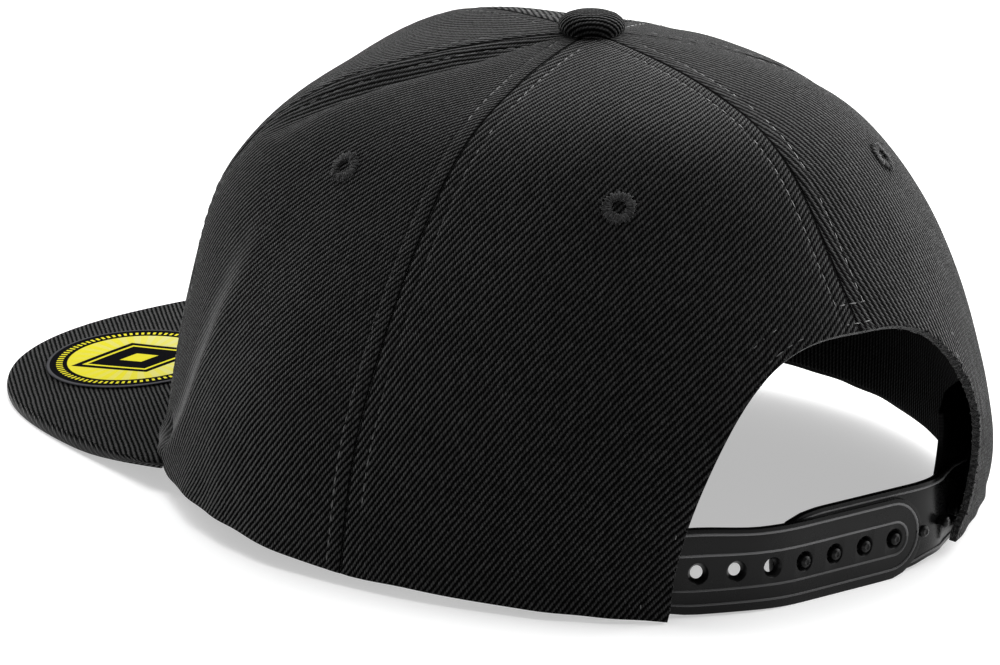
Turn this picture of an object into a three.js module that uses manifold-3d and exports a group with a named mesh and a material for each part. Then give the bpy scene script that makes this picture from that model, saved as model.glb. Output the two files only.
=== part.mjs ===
// A six-panel cap with a flat peak and a snap strap, standing on its peak and its back rim.
// Millimetres, +Z up, the peak points along -Y, the wearer's left is +X.
import * as THREE from 'three';
import Module from 'manifold-3d';

// Driving sizes
const wall = 1.6;             // cloth of the panels
const seamGap = 0.3;          // between neighbouring panels
const pieceGap = 0.35;        // between other pieces that touch
const crownHeight = 109;
const apexLean = { x: 2.8, y: 9.2 };
const topHole = 3;            // radius left open under the button
const frontSeam = 56;         // front to side seam, degrees from the front
const sideSeam = 113.7;       // side to back seam, at half its height
const seamBend = 2.4;         // and so many degrees further forward at the rim, and back at the top
const arch = { halfAngle: 24, share: 0.425, sides: 2.6, crest: 2.07 };
const dent = { depth: 3.2, offset: 8, width: 4.6, low: 0.58, high: 0.97 };
const rightCornerLift = 2.4;
const eyelet = { cut: 2.5, hole: 1.35, tube: 2.2, rim: 4.3, rise: 0.6 };
const eyeletPlaces = {
  left_side: { angle: 89, share: 0.587 },
  left_back: { angle: 149, share: 0.602 },
  right_back: { angle: -153, share: 0.618 },
  right_side: { angle: -89, share: 0.587 },
};
const peakSize = { thick: 3.4, halfWidth: 85.5, startY: -45.5, reach: 103.6, power: 3.76, height: 8.4, slope: 0.059,
                   scoop: 2.7, droop: 6.1, endAngle: 64 };
const sticker = { x: 45.1, y: -114.1, radius: 22.6, thick: 0.4, gap: 0.25 };
const button = { radius: 7.6, height: 4.6, shank: 2.2 };
const band = { thick: 1.3, low: 0.012, high: 0.215, endAngle: 153.5, overStrap: 6.8 };
const strap = { bottom: 1.6, height: 18.2, thick: 1.6, firstHole: 35.1, pitch: 8.75, holes: 7, holeRadius: 2.1,
                pegRadius: 1.6, pegLength: 2.8, endReach: 6.4, endRadius: 6.3, tail: 22, innerRise: 1.2, duck: 0.85 };
// The straps' line as seen from above: its middle, and the way it heads at each station along it, in degrees
// towards the front. It is flat where the two straps lie on each other, and bends at both ends.
const strapMiddle = { x: -0.9, y: 96.3 };
const strapBends = [
  { station: -60, heading: -43 },
  { station: -44, heading: -35 },
  { station: -24, heading: -2.5 },
  { station: 12, heading: -2.5 },
  { station: 26, heading: 17 },
  { station: 60, heading: 37 },
];

// The crown's half sections, mirrored on the other side. The angle is counted from the front in degrees,
// the radii are taken at the rim, at a third and at two thirds of the height, and top is the height of the crest.
const crownRows = [
  { angle: 0,   rim: 92.1,  foot: 7.9,  wall: 93.3,   shoulder: 78.8,  top: 103.6 },
  { angle: 30,  rim: 91.7,  foot: 7.6,  wall: 91.6,   shoulder: 76.6,  top: 100.7 },
  { angle: 60,  rim: 93.5,  foot: 8,    wall: 88.4,   shoulder: 79.1,  top: 98.7 },
  { angle: 90,  rim: 93.6,  foot: 6.5,  wall: 90,     shoulder: 71.3,  top: 99 },
  { angle: 120, rim: 93.1,  foot: 3.8,  wall: 89.1,   shoulder: 71.7,  top: 99.1 },
  { angle: 150, rim: 99.9,  foot: 2.1,  wall: 99.4,   shoulder: 82.6,  top: 101.1 },
  { angle: 180, rim: 104.5, foot: -1.5, wall: 116.8,  shoulder: 91.3,  top: 100.3 },
];
const topShare = 0.66;

const rad = THREE.MathUtils.degToRad;
const { clamp, smoothstep, lerp } = THREE.MathUtils;
const spline = (a, b, c, d, t) =>
  0.5 * (2 * b + (c - a) * t + (2 * a - 5 * b + 4 * c - d) * t * t + (3 * b - a - 3 * c + d) * t ** 3);

function peakTop(x, y) {
  const out = y + 95;
  return peakSize.height + peakSize.slope * out + peakSize.scoop * (out / 60) ** 2 - peakSize.droop * (x / 90) ** 2
    + peakSize.thick / 2;
}

function column(name, angle) {
  const a = Math.abs(((angle + 540) % 360) - 180), step = crownRows[1].angle;
  const i = Math.min(Math.floor(a / step), crownRows.length - 2), last = crownRows.length - 1;
  const at = (k) => crownRows[k < 0 ? -k : k > last ? 2 * last - k : k][name];
  return spline(at(i - 1), at(i), at(i + 1), at(i + 2), a / step - i);
}

function foot(angle) {
  const a = Math.abs(((angle + 540) % 360) - 180), right = angle < 0 || angle > 180;
  return column('foot', angle) + (right ? rightCornerLift * smoothstep(a, 125, 154) * (1 - smoothstep(a, 157, 178)) : 0);
}

// A point of the crown's outer face: angle from the front toward the wearer's left, share 0 at the rim, 1 at the top.
function crownPoint(angle, share) {
  const rim = column('rim', angle), low = foot(angle), wallR = column('wall', angle);
  const shoulder = column('shoulder', angle), top = column('top', angle), crest = topShare * shoulder;
  const z1 = low + 0.33 * (crownHeight - low), z2 = low + 0.68 * (crownHeight - low);
  const r = [2 * rim - wallR, rim, wallR, shoulder, crest, 0, -crest];
  const z = [2 * low - z1, low, z1, z2, top, crownHeight, top];
  const i = Math.min(Math.floor(share * 4), 3), f = share * 4 - i;
  let radius = spline(r[i], r[i + 1], r[i + 2], r[i + 3], f), height = spline(z[i], z[i + 1], z[i + 2], z[i + 3], f);
  const side = Math.abs(((angle + 540) % 360) - 180);
  const along = clamp((share - dent.low) / (dent.high - dent.low), 0, 1);
  const off = rad(side - frontSeam) * radius - dent.offset * Math.min(1, radius / 30);
  const width = dent.width * Math.min(1, radius / 30);
  const deep = dent.depth * Math.sin(Math.PI * along) ** 0.8 * Math.exp(-((off / width) ** 2));
  radius -= deep * Math.cos(share * Math.PI / 2);
  height -= deep * Math.sin(share * Math.PI / 2);
  const lean = share * share * (3 - 2 * share), a = rad(angle);
  return new THREE.Vector3(radius * Math.sin(a) + apexLean.x * lean, -radius * Math.cos(a) + apexLean.y * lean, height);
}

function crownNormal(angle, share) {
  const e = 0.4, s = 0.004, low = Math.max(share - s, 0), high = Math.min(share + s, 0.999);
  const across = crownPoint(angle + e, share).sub(crownPoint(angle - e, share));
  return across.cross(crownPoint(angle, high).sub(crownPoint(angle, low))).normalize();
}

const crownInside = (angle, share, depth) => crownPoint(angle, share).addScaledVector(crownNormal(angle, share), -depth);

// A closed solid from two equal grids of points, one for each face.
function slab(rows, face, back) {
  const n = rows.length, m = rows[0].length, points = [], index = [];
  for (const side of [face, back]) for (const row of rows) for (const cell of row) points.push(...side(...cell).toArray());
  const at = (side, i, j) => side * n * m + i * m + j;
  const quad = (a, b, c, d) => index.push(a, b, c, a, c, d);
  for (let i = 0; i < n - 1; i++) for (let j = 0; j < m - 1; j++) {
    quad(at(0, i, j), at(0, i + 1, j), at(0, i + 1, j + 1), at(0, i, j + 1));
    quad(at(1, i, j), at(1, i, j + 1), at(1, i + 1, j + 1), at(1, i + 1, j));
  }
  for (let i = 0; i < n - 1; i++) {
    quad(at(0, i, 0), at(1, i, 0), at(1, i + 1, 0), at(0, i + 1, 0));
    quad(at(0, i, m - 1), at(0, i + 1, m - 1), at(1, i + 1, m - 1), at(1, i, m - 1));
  }
  for (let j = 0; j < m - 1; j++) {
    quad(at(0, 0, j), at(0, 0, j + 1), at(1, 0, j + 1), at(1, 0, j));
    quad(at(0, n - 1, j), at(1, n - 1, j), at(1, n - 1, j + 1), at(0, n - 1, j + 1));
  }
  return solid(points, index);
}

function solid(points, index) {
  const p = (k) => new THREE.Vector3().fromArray(points, 3 * k);
  let volume = 0;
  for (let k = 0; k < index.length; k += 3) volume += p(index[k]).dot(p(index[k + 1]).cross(p(index[k + 2])));
  if (volume < 0) for (let k = 0; k < index.length; k += 3) [index[k], index[k + 1]] = [index[k + 1], index[k]];
  const geometry = new THREE.BufferGeometry();
  geometry.setAttribute('position', new THREE.Float32BufferAttribute(points, 3));
  geometry.setIndex(index);
  return geometry;
}

const steps = (from, to, count) => Array.from({ length: count + 1 }, (_, k) => lerp(from, to, k / count));

const wasm = await Module();
wasm.setup();
function body(geometry) {
  const index = geometry.index.array, points = geometry.attributes.position.array, seen = new Map(), verts = [], tris = [];
  const merged = Array.from({ length: points.length / 3 }, (_, k) => {
    const key = [0, 1, 2].map((c) => Math.round(points[3 * k + c] * 1e4)).join();
    if (!seen.has(key)) { seen.set(key, verts.length / 3); verts.push(points[3 * k], points[3 * k + 1], points[3 * k + 2]); }
    return seen.get(key);
  });
  for (let k = 0; k < index.length; k += 3) {
    const [a, b, c] = [merged[index[k]], merged[index[k + 1]], merged[index[k + 2]]];
    if (a !== b && b !== c && a !== c) tris.push(a, b, c);
  }
  return new wasm.Manifold(new wasm.Mesh({ numProp: 3, vertProperties: new Float32Array(verts), triVerts: new Uint32Array(tris) }));
}
function fromBody(manifold) {
  const mesh = manifold.getMesh();
  return solid(Array.from(mesh.vertProperties), Array.from(mesh.triVerts));
}
// A round pin along a direction, centred on a point.
function pin(centre, direction, radius, length, sides) {
  const geometry = new THREE.CylinderGeometry(radius, radius, length, sides);
  geometry.applyQuaternion(new THREE.Quaternion().setFromUnitVectors(new THREE.Vector3(0, 1, 0), direction));
  return geometry.translate(centre.x, centre.y, centre.z);
}
const cut = (geometry, tools) => fromBody(tools.reduce((whole, tool) => whole.subtract(body(tool)), body(geometry)));
const join = (geometry, tools) => fromBody(tools.reduce((whole, tool) => whole.add(body(tool)), body(geometry)));

// The side seams bend a little, and the cloth beside them follows.
function bent(angle, share) {
  const a = Math.abs(angle);
  const near = a < sideSeam ? smoothstep(a, frontSeam, sideSeam) : 1 - smoothstep(a, sideSeam, 180 - arch.halfAngle);
  return angle + Math.sign(angle) * seamBend * (2 * share - 1) * near;
}

// Panels of the crown. Each edge on a seam is drawn back by half the gap.
function topShareAt(angle) {
  let low = 0.9, high = 1;
  for (let k = 0; k < 30; k++) {
    const mid = (low + high) / 2, p = crownPoint(angle, mid);
    if (Math.hypot(p.x - apexLean.x, p.y - apexLean.y) > topHole) low = mid; else high = mid;
  }
  return low;
}
function archShare(angle) {
  const off = Math.abs(180 - Math.abs(angle)) / arch.halfAngle;
  return off >= 1 ? 0 : arch.share * Math.sqrt(1 - off ** arch.sides) ** (2 / arch.crest);
}
function panel(angles, rows) {
  const last = angles.length - 1;
  const grid = angles.map((angle, k) => steps(0, topShareAt(angle), rows).map((level) => {
    // Over the arch the lower rows are squeezed together; the rows above keep their height.
    const share = level + archShare(angle) * Math.max(0, 1 - level / 0.62);
    const at = bent(angle, share), draw = k === 0 ? 1 : k === last ? -1 : 0, p = crownPoint(at, share);
    const radius = Math.hypot(p.x - apexLean.x * share, p.y - apexLean.y * share);
    return [at + draw * Math.sign(angles[last] - angles[0]) * THREE.MathUtils.radToDeg(seamGap / 2 / radius), share];
  }));
  return slab(grid, crownPoint, (angle, share) => crownInside(angle, share, wall));
}
const archAngles = [0, 15, 27, 39, 50, 61, 72, 81, 90].map((turn) => 180 - arch.halfAngle * Math.cos(rad(turn)) ** (2 / arch.sides));
const backAngles = [...steps(sideSeam, 180 - arch.halfAngle, 6), ...archAngles.slice(1)];
const holeTool = ({ angle, share }) => pin(crownPoint(angle, share), crownNormal(angle, share), eyelet.cut, 12, 16);
const panelShape = {
  left_front_panel: panel(steps(0, frontSeam, 8), 18),
  right_front_panel: panel(steps(-frontSeam, 0, 8), 18),
  left_side_panel: cut(panel(steps(frontSeam, sideSeam, 9), 18), [holeTool(eyeletPlaces.left_side)]),
  right_side_panel: cut(panel(steps(-sideSeam, -frontSeam, 9), 18), [holeTool(eyeletPlaces.right_side)]),
  left_back_panel: cut(panel(backAngles, 16), [holeTool(eyeletPlaces.left_back)]),
  right_back_panel: cut(panel(backAngles.map((a) => -a).reverse(), 16), [holeTool(eyeletPlaces.right_back)]),
};

// The sewn eyelets: a tube through the wall and a flat ring outside.
function eyeletShape({ angle, share }) {
  const { hole, tube, rim, rise } = eyelet, lift = 0.28;
  const profile = [[hole, -wall - 0.5], [tube, -wall - 0.5], [tube, lift], [rim, lift], [rim, lift + rise * 0.6],
    [rim - 0.9, lift + rise], [hole + 0.5, lift + rise], [hole, lift + 0.1], [hole, -wall - 0.5]];
  const ring = new THREE.LatheGeometry(profile.map(([x, y]) => new THREE.Vector2(x, y)), 16);
  const p = crownPoint(angle, share);
  ring.applyQuaternion(new THREE.Quaternion().setFromUnitVectors(new THREE.Vector3(0, 1, 0), crownNormal(angle, share)));
  return fromBody(body(ring.translate(p.x, p.y, p.z)));
}

// The peak: a board between its outer edge and the crown's foot, level with it below.
function peakEdge(turn, depth) {
  const grow = (v) => Math.sign(v) * Math.abs(v) ** (2 / peakSize.power);
  const outer = new THREE.Vector2((peakSize.halfWidth) * grow(Math.sin(rad(turn))),
    peakSize.startY - peakSize.reach * grow(Math.cos(rad(turn))));
  const angle = peakSize.endAngle * turn / 90;
  const rim = pieceGap + Math.max(...[0, 0.03, 0.06].map((share) => Math.hypot(crownPoint(angle, share).x, crownPoint(angle, share).y)));
  const inner = new THREE.Vector2(rim * Math.sin(rad(angle)), -rim * Math.cos(rad(angle)));
  return outer.lerp(inner, depth);
}
function peakShape() {
  const turns = steps(-90, 90, 40), depths = [0, 0.02, 0.08, 0.3, 0.55, 0.8, 1];
  const half = peakSize.thick / 2, round = (d) => (d === 0 ? 0.45 : d === 0.02 ? 0.85 : 1);
  const face = (sign) => (turn, depth) => {
    const p = peakEdge(turn, depth);
    return new THREE.Vector3(p.x, p.y, peakTop(p.x, p.y) - half + sign * half * round(depth));
  };
  return slab(turns.map((turn) => depths.map((depth) => [turn, depth])), face(1), face(-1));
}
function stickerShape() {
  const points = [], index = [], rings = [0, 0.35, 0.7, 1], sides = 36;
  for (const lift of [sticker.gap + sticker.thick, sticker.gap]) for (const share of rings) for (let k = 0; k < sides; k++) {
    const x = sticker.x + sticker.radius * share * Math.cos(2 * Math.PI * k / sides);
    const y = sticker.y + sticker.radius * share * Math.sin(2 * Math.PI * k / sides);
    points.push(x, y, peakTop(x, y) + lift);
  }
  const at = (layer, ring, k) => (layer * rings.length + ring) * sides + (k % sides);
  for (let k = 0; k < sides; k++) {
    for (let ring = 0; ring < rings.length - 1; ring++) {
      index.push(at(0, ring, k), at(0, ring + 1, k), at(0, ring + 1, k + 1), at(0, ring, k), at(0, ring + 1, k + 1), at(0, ring, k + 1));
      index.push(at(1, ring, k), at(1, ring + 1, k + 1), at(1, ring + 1, k), at(1, ring, k), at(1, ring, k + 1), at(1, ring + 1, k + 1));
    }
    index.push(at(0, 3, k), at(1, 3, k), at(1, 3, k + 1), at(0, 3, k), at(1, 3, k + 1), at(0, 3, k + 1));
  }
  return fromBody(body(solid(points, index)));
}

function buttonShape() {
  const base = crownHeight + pieceGap, { radius, height, shank } = button, crown = steps(0, 90, 6).map(rad);
  const profile = [[0, base - 3.2], [shank, base - 3.2], [shank, base], [radius - 0.9, base], [radius, base + 1.1],
    ...crown.slice(1).map((t) => [radius * Math.cos(t) ** 0.8, base + 1.1 + (height - 1.1) * Math.sin(t)])];
  profile[profile.length - 1][0] = 0;
  const lathe = new THREE.LatheGeometry(profile.map(([x, y]) => new THREE.Vector2(x, y)), 24).rotateX(Math.PI / 2);
  return fromBody(body(lathe.translate(apexLean.x, apexLean.y, 0)));
}

// The sweatband lies inside the wall and steps inward over the straps' ends.
function bandShape() {
  const depth = (angle) => wall + pieceGap + band.overStrap * smoothstep(Math.abs(angle), 132, 144);
  const grid = steps(-band.endAngle, band.endAngle, 60).map((angle) => steps(band.low, band.high, 3).map((share) => [angle, share]));
  return slab(grid, (a, s) => crownInside(a, s, depth(a)), (a, s) => crownInside(a, s, depth(a) + band.thick));
}

// The straps bend round the back. A station is the length along them from the middle toward the wearer's left.
function strapHeading(station) {
  const i = clamp(strapBends.findIndex((row) => row.station > station), 1, strapBends.length - 1);
  const [from, to] = [strapBends[i - 1], strapBends[i]];
  return rad(lerp(from.heading, to.heading, (station - from.station) / (to.station - from.station)));
}
const outward = (station) => new THREE.Vector3(Math.sin(strapHeading(station)), Math.cos(strapHeading(station)), 0);
function strapLine(station) {
  const count = Math.max(1, Math.ceil(Math.abs(station))), step = station / count;
  let x = strapMiddle.x, y = strapMiddle.y;
  for (let k = 0; k < count; k++) {
    const heading = strapHeading((k + 0.5) * step);
    x += step * Math.cos(heading);
    y -= step * Math.sin(heading);
  }
  const angle = THREE.MathUtils.radToDeg(Math.atan2(x, -y)), reach = Math.hypot(x, y);
  let room = 1e3;
  if (180 - Math.abs(angle) > arch.halfAngle - 3) {
    for (const share of steps(0.01, 0.24, 6)) {
      const p = crownInside(angle, share, wall + 0.45);
      room = Math.min(room, Math.hypot(p.x, p.y));
    }
  }
  const scale = Math.min(1, room / reach);
  return new THREE.Vector3(x * scale, y * scale, 0);
}
function strapPoint(station, height, depth) {
  const p = strapLine(station).addScaledVector(outward(station), -depth);
  return p.setZ(height);
}
function strapShape(from, to, bottom, top, depth, endSign) {
  const { thick, endRadius } = strap, free = endSign > 0 ? to : from;
  const stations = [...steps(from, to, 22), ...[0.3, 1.2, 2.6, 4.6].map((d) => free - endSign * d)].sort((a, b) => a - b);
  const inset = (station) => {
    const d = Math.min(Math.abs(station - free), endRadius);
    return endRadius - Math.sqrt(endRadius ** 2 - (endRadius - d) ** 2);
  };
  const grid = stations.map((station) => steps(bottom + inset(station), top - inset(station), 2).map((h) => [station, h]));
  return slab(grid, (s, h) => strapPoint(s, h, depth(s)), (s, h) => strapPoint(s, h, depth(s) + thick));
}
const holeHeight = strap.bottom + strap.height / 2;
const holeStations = Array.from({ length: strap.holes }, (_, k) => strap.firstHole - strap.pitch * k);
function holeStrap() {
  const end = holeStations.at(-1) - strap.endReach;
  const plate = strapShape(end, strap.firstHole + strap.tail, strap.bottom, strap.bottom + strap.height, () => 0, -1);
  return cut(plate, holeStations.map((s) => pin(strapPoint(s, holeHeight, 0), outward(s), strap.holeRadius, 12, 14)));
}
function pegStrap() {
  // Where the inner strap goes behind the panel it moves inward a little, so that its last peg clears the cloth.
  const depth = (station) => strap.thick + pieceGap + strap.duck * smoothstep(-station, 30, 42);
  const pegs = holeStations.map((s) => s - 3 * strap.pitch);
  const end = pegs[0] + strap.endReach;
  const plate = strapShape(-(strap.firstHole + strap.tail), end, strap.bottom + 0.4, strap.bottom + strap.height + strap.innerRise, depth, 1);
  return join(plate, pegs.map((s) => {
    const root = strapPoint(s, holeHeight, depth(s) + 0.6), out = outward(s);
    return pin(root.addScaledVector(out, (strap.pegLength + 0.6) / 2), out, strap.pegRadius, strap.pegLength + 0.6, 12);
  }));
}

const cloth = { color: 0x1b1b1d, roughness: 0.95, metalness: 0 };
const plastic = { color: 0x1d1d1e, roughness: 0.45, metalness: 0 };
const parts = {
  ...Object.fromEntries(Object.entries(panelShape).map(([name, shape]) => [name, [shape, cloth]])),
  peak: [peakShape(), cloth],
  crown_button: [buttonShape(), cloth],
  sweatband: [bandShape(), { color: 0x141415, roughness: 0.9, metalness: 0 }],
  hole_strap: [holeStrap(), plastic],
  peg_strap: [pegStrap(), plastic],
  ...Object.fromEntries(Object.entries(eyeletPlaces).map(([name, place]) => [`${name}_eyelet`, [eyeletShape(place), cloth]])),
  peak_sticker: [stickerShape(), { color: 0xc9c23a, roughness: 0.35, metalness: 0.2 }],
};

const cap = new THREE.Group();
for (const [name, [shape, look]] of Object.entries(parts)) {
  const mesh = new THREE.Mesh(shape, new THREE.MeshStandardMaterial(look));
  mesh.name = name;
  cap.add(mesh);
}
// The origin is under the middle of the whole, on the floor.
const box = new THREE.Box3().setFromObject(cap), middle = box.getCenter(new THREE.Vector3());
for (const mesh of cap.children) mesh.geometry.translate(-middle.x, -middle.y, -box.min.z);
export default cap;
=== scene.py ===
import math

import bmesh
import bpy
import numpy as np
from mathutils import Matrix, Vector


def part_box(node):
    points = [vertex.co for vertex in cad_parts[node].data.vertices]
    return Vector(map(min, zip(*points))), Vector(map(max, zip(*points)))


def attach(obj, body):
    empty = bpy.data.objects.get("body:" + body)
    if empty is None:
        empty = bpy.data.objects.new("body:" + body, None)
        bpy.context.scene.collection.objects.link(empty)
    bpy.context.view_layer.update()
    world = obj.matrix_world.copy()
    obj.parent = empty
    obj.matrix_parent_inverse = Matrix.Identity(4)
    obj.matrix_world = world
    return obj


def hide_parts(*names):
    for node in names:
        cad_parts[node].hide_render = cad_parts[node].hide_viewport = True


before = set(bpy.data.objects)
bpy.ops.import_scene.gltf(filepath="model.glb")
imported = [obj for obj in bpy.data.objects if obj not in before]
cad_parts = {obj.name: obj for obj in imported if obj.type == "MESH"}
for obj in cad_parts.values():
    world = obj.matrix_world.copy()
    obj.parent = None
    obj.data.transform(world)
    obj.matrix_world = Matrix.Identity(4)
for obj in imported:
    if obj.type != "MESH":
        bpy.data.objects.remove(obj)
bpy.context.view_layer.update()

# The cap is seen from behind and from the wearer's left, from a little above, through a long lens that stands
# about 1.2 m away, as for a product photograph.
camera = bpy.data.objects.new("camera", bpy.data.cameras.new("camera"))
bpy.context.scene.collection.objects.link(camera)
bpy.context.scene.camera = camera
camera.data.lens, camera.data.sensor_width, camera.data.sensor_fit = 181.7, 36, "HORIZONTAL"
camera.data.clip_start, camera.data.clip_end = 0.05, 30
bpy.context.scene.view_settings.view_transform = "Standard"
camera.matrix_world = Matrix((
    (-0.80970, -0.15093, 0.56710, 0.67110),
    (0.58651, -0.24052, 0.77341, 0.91075),
    (0.01967, 0.95885, 0.28327, 0.36344),
    (0, 0, 0, 1)))

# The table is a wide, plain, matt sheet. It glows a little of itself, as one lit from all round does, so the
# cap's shadow on it stays soft and pale.
TABLE_SIZE, TABLE_DROP = 6, 0.0003


class Shade:
    """One value of a material. Sums and products of such values add the Math nodes for them."""

    def __init__(self, socket):
        self.socket, self.tree = socket, socket.id_data

    def node(self, kind, settings, inputs, output=0):
        made = self.tree.nodes.new("ShaderNode" + kind)
        for key, value in settings.items():
            setattr(made, key, value)
        for key, value in inputs.items():
            if isinstance(value, Shade):
                self.tree.links.new(value.socket, made.inputs[key])
            else:
                made.inputs[key].default_value = value
        return Shade(made.outputs[output])

    def maths(self, operation, *others):
        return self.node("Math", {"operation": operation}, dict(enumerate((self, *others))))

    def turned(self, operation, first):
        return self.node("Math", {"operation": operation}, {0: first, 1: self})

    def __add__(self, other): return self.maths("ADD", other)
    def __radd__(self, other): return self.turned("ADD", other)
    def __sub__(self, other): return self.maths("SUBTRACT", other)
    def __rsub__(self, other): return self.turned("SUBTRACT", other)
    def __mul__(self, other): return self.maths("MULTIPLY", other)
    def __rmul__(self, other): return self.turned("MULTIPLY", other)
    def __truediv__(self, other): return self.maths("DIVIDE", other)
    def __pow__(self, other): return self.maths("POWER", other)
    def __abs__(self): return self.maths("ABSOLUTE")

    def smooth(self, start, end):
        """0 before start and 1 after end, or the other way round where start is the larger."""
        return self.node("MapRange", {"interpolation_type": "SMOOTHSTEP"}, {0: self, 1: start, 2: end})

    def mix(self, first, second):
        return self.node("Mix", {"data_type": "RGBA"}, {0: self, 6: first, 7: second}, 2)


def finish_of(name, **sockets):
    """A new material, its Principled BSDF with these constant inputs, and a Shade to start its maths from."""
    material = bpy.data.materials.new(name)
    material.use_nodes = True
    surface = material.node_tree.nodes["Principled BSDF"]
    for key, value in sockets.items():
        surface.inputs[key.replace("_", " ").title().replace("Ior", "IOR")].default_value = value
    return material, surface, Shade(surface.outputs[0])


table, _, _ = finish_of("pale_table", base_color=(0.68, 0.68, 0.68, 1), roughness=1, specular_ior_level=0,
                        emission_color=(1, 1, 1, 1), emission_strength=0.47)
bm = bmesh.new()
bmesh.ops.create_grid(bm, x_segments=2, y_segments=2, size=TABLE_SIZE)
bmesh.ops.translate(bm, verts=bm.verts, vec=(0, 0, -TABLE_DROP))
floor = bpy.data.objects.new("floor", bpy.data.meshes.new("floor"))
bm.to_mesh(floor.data)
floor.data.materials.append(table)
bpy.context.scene.collection.objects.link(floor)

# Four large softboxes light the cap: one overhead, two on the wearer's right and one in front. The world's
# weak even light stands for the pale room round them.
world = bpy.data.worlds.new("studio")
bpy.context.scene.world = world
world.use_nodes = True
world.node_tree.nodes["Background"].inputs["Color"].default_value = (1, 1, 1, 1)
world.node_tree.nodes["Background"].inputs["Strength"].default_value = 0.27


def softbox(name, place, target, size, power):
    light = bpy.data.objects.new(name, bpy.data.lights.new(name, "AREA"))
    light.data.shape, light.data.size, light.data.size_y, light.data.energy = "RECTANGLE", *size, power
    light.location = place
    light.rotation_euler = (Vector(target) - Vector(place)).to_track_quat("-Z", "Y").to_euler()
    bpy.context.scene.collection.objects.link(light)


softbox("overhead_light", (0.1, -0.2, 1.6), (0, 0, 0), (0.9, 0.9), 14)
softbox("rear_light", (-1.3, 0.3, 0.9), (0, 0, 0), (2, 1.6), 35)
softbox("right_light", (-1.5, -0.5, 0.7), (0, 0, 0), (1.6, 1.2), 22)
softbox("front_light", (-0.2, -1.4, 1.2), (0, 0, 0), (2, 1.4), 17)

# The crown is six panels of heavy black twill, sewn edge to edge and pressed open, with the seam allowance
# topstitched down on both sides. The two back panels are cut away for the strap, and every lower edge is
# turned in.

# Half sections every 30 degrees from the front to the back, in mm: the radii at the rim, at a third and at
# two thirds of the height, and the heights of the foot and of the crest.
RIM = (92.1, 91.7, 93.5, 93.6, 93.1, 99.9, 104.5)
FOOT = (7.9, 7.6, 8, 6.5, 3.8, 2.1, -1.5)
WALL = (93.3, 91.6, 88.4, 90, 89.1, 99.4, 116.8)
SHOULDER = (78.8, 76.6, 79.1, 71.3, 71.7, 82.6, 91.3)
CREST = (103.6, 100.7, 98.7, 99, 99.1, 101.1, 100.3)
TOP, LEAN = 109, (2.8, 9.2)
BUTTON_GAP, BUTTON_HEIGHT = 0.35, 4.6
button_low, button_high = (np.array(corner) * 1000 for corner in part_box("crown_button"))
SHIFT = np.array([(button_low[0] + button_high[0]) / 2 - LEAN[0],
                  (button_low[1] + button_high[1]) / 2 - LEAN[1],
                  button_high[2] - TOP - BUTTON_GAP - BUTTON_HEIGHT])
ARCH_ANGLE, ARCH_SHARE, ARCH_SIDES, ARCH_CREST = 24, 0.425, 2.6, 2.07
FRONT_SEAM, SIDE_SEAM, SEAM_BEND = 56, 113.7, 2.4
SEAMS = (0, FRONT_SEAM, SIDE_SEAM, 180, -SIDE_SEAM, -FRONT_SEAM)
SEAM_ROW = 3.75
PANEL_TOP, CLOTH_THICK, CLOTH_ROUNDING = 0.978, 1.6, 0.55
CORNER_LIFT, SIDE_HANG, PEAK_END_HANG = 2.4, 0.8, 0.9
DENT_LOW, DENT_TALL, DENT_OFFSET, DENT_WIDTH, DENT_LEFT, DENT_RIGHT = 0.58, 0.39, 8, 4.6, 3.2, 0.4
SHOULDER_PUFF, CORNER_BULGE, CORNER_CURL = 0.8, 2.4, 2.5
CREASE_TOP, CREASE_LEAN, CREASE_RISE = 77.2, 22, 0.12
BULGE_ANGLE, BULGE_HEIGHT, KNOT_ANGLE, KNOT_HEIGHT = 58, 3.5, 63, 8


def spline(a, b, c, d, t):
    """A smooth curve from b at t = 0 to c at t = 1, with a and d as its neighbours."""
    return 0.5 * (2 * b + (c - a) * t + (2 * a - 5 * b + 4 * c - d) * t**2 + (3 * b - a - 3 * c + d) * t**3)


def smooth(x, start, end):
    t = np.clip((x - start) / (end - start), 0, 1)
    return t * t * (3 - 2 * t)


def round_the_crown(sizes, turn):
    i = np.minimum((turn // 30).astype(int), 5)
    v = np.array([sizes[1], *sizes, sizes[-2]], float)
    return spline(v[i], v[i + 1], v[i + 2], v[i + 3], turn / 30 - i)


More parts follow.
